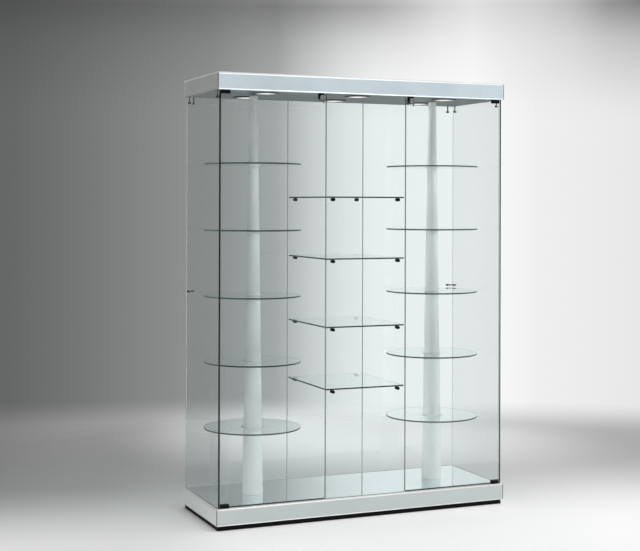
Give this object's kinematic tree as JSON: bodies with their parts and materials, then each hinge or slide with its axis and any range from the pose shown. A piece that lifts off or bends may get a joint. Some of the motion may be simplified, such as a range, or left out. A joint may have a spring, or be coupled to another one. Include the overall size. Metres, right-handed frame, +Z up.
{
  "type": "revolving glass display cabinet",
  "caption": "Free-standing glass display cabinet: doors at both ends, turning columns of round glass shelves behind them, fixed glass shelves between, mirror floor and lit canopy.",
  "frame": {"origin": "on the floor, under the middle of the base and canopy rails, at the underside of the middle levelling foot", "axes": "+Z up, -Y towards the front where the doors and locks are, +X to the right seen from the front"},
  "size_m": [1.33, 0.4815, 1.855],
  "materials": {
    "rail_metal": "satin anodised",
    "cover_metal": "plain sheet",
    "column_metal": "satin",
    "hub_metal": "turned",
    "clear_glass": "clear, polished edges",
    "shelf_glass": "clear, polished edges",
    "mirror": "silvered",
    "soffit": "satin grey sheet",
    "plinth_black": "matt black",
    "foot_plastic": "matt",
    "board": "raw board",
    "zinc_steel": "zinc plated",
    "gasket": "translucent grey",
    "fitting_black": "satin black",
    "bezel": "satin",
    "lens": "frosted",
    "lamp": "white",
    "case_plastic": "matt",
    "motor_metal": "plated",
    "bush": "natural nylon",
    "rubber": "matt",
    "hinge_black": "satin black",
    "lock_black": "satin black",
    "lock_chrome": "polished",
    "key_steel": "nickel plated"
  },
  "bodies": {
    "cabinet": {"base_bottom_board": "board", "base_deck": "board", "base_rails": "rail_metal", "bolt_keepers": "zinc_steel", "bracket_screws": "zinc_steel", "cable_grommets": "rubber", "canopy_rails": "rail_metal", "canopy_top_panel": "cover_metal", "centre_shelves": "shelf_glass", "corner_brackets": "zinc_steel", "downlight_bezels": "bezel", "downlight_cans": "cover_metal", "downlight_lamps": "lamp", "downlight_lenses": "lens", "front_pane_centre": "clear_glass", "gearmotors": "motor_metal", "glazing_channels": "gasket", "levelling_feet": "foot_plastic", "lighting_transformer": "case_plastic", "mirror_floor": "mirror", "pane_clips": "fitting_black", "pivot_bushes": "bush", "plinth": "plinth_black", "rear_pane_centre": "clear_glass", "rear_pane_left": "clear_glass", "rear_pane_right": "clear_glass", "shelf_pegs": "fitting_black", "side_pane_left": "clear_glass", "side_pane_right": "clear_glass", "soffit_panel": "soffit"},
    "door_left": {"door_pane_left": "clear_glass", "hinge_clamps_left": "hinge_black", "lock_body_left": "lock_black"},
    "lock_left": {"lock_plug_left": "lock_chrome", "lock_key_left": "key_steel"},
    "bolt_left": {"lock_bolt_left": "zinc_steel"},
    "turntable_left": {"column_left": "column_metal", "column_cap_left": "column_metal", "column_hub_left": "hub_metal", "shelf_collars_left": "column_metal", "round_shelf_1_left": "shelf_glass", "round_shelf_2_left": "shelf_glass", "round_shelf_3_left": "shelf_glass", "round_shelf_4_left": "shelf_glass", "round_shelf_5_left": "shelf_glass"},
    "door_right": {"door_pane_right": "clear_glass", "hinge_clamps_right": "hinge_black", "lock_body_right": "lock_black"},
    "lock_right": {"lock_plug_right": "lock_chrome", "lock_key_right": "key_steel"},
    "bolt_right": {"lock_bolt_right": "zinc_steel"},
    "turntable_right": {"column_right": "column_metal", "column_cap_right": "column_metal", "column_hub_right": "hub_metal", "shelf_collars_right": "column_metal", "round_shelf_1_right": "shelf_glass", "round_shelf_2_right": "shelf_glass", "round_shelf_3_right": "shelf_glass", "round_shelf_4_right": "shelf_glass", "round_shelf_5_right": "shelf_glass"}
  },
  "joints": [
    {"name": "door_left_hinge", "type": "hinge", "parent": "cabinet", "child": "door_left", "pos_m": [-0.636, -0.218, 0.091], "axis": [0, 0, -1], "range_deg": [0, 110]},
    {"name": "lock_left_turn", "type": "hinge", "parent": "door_left", "child": "lock_left", "pos_m": [-0.2085, -0.231, 1.765], "axis": [0, 1, 0], "range_deg": [0, 90]},
    {"name": "bolt_left_slide", "type": "slide", "parent": "door_left", "child": "bolt_left", "axis": [0, 0, 1], "range_m": [0, 0.008]},
    {"name": "turntable_left_spin", "type": "hinge", "parent": "cabinet", "child": "turntable_left", "pos_m": [-0.428, 0, 0.091], "axis": [0, 0, 1], "continuous": true},
    {"name": "door_right_hinge", "type": "hinge", "parent": "cabinet", "child": "door_right", "pos_m": [0.636, -0.218, 0.091], "axis": [0, 0, 1], "range_deg": [0, 110]},
    {"name": "lock_right_turn", "type": "hinge", "parent": "door_right", "child": "lock_right", "pos_m": [0.2085, -0.231, 1.765], "axis": [0, 1, 0], "range_deg": [0, 90]},
    {"name": "bolt_right_slide", "type": "slide", "parent": "door_right", "child": "bolt_right", "axis": [0, 0, 1], "range_m": [0, 0.008]},
    {"name": "turntable_right_spin", "type": "hinge", "parent": "cabinet", "child": "turntable_right", "pos_m": [0.428, 0, 0.091], "axis": [0, 0, 1], "continuous": true}
  ],
  "couplings": [
    {"joint": "bolt_left_slide", "follows": "lock_left_turn", "m_per_rad": 0.005092},
    {"joint": "bolt_right_slide", "follows": "lock_right_turn", "m_per_rad": 0.005092}
  ]
}
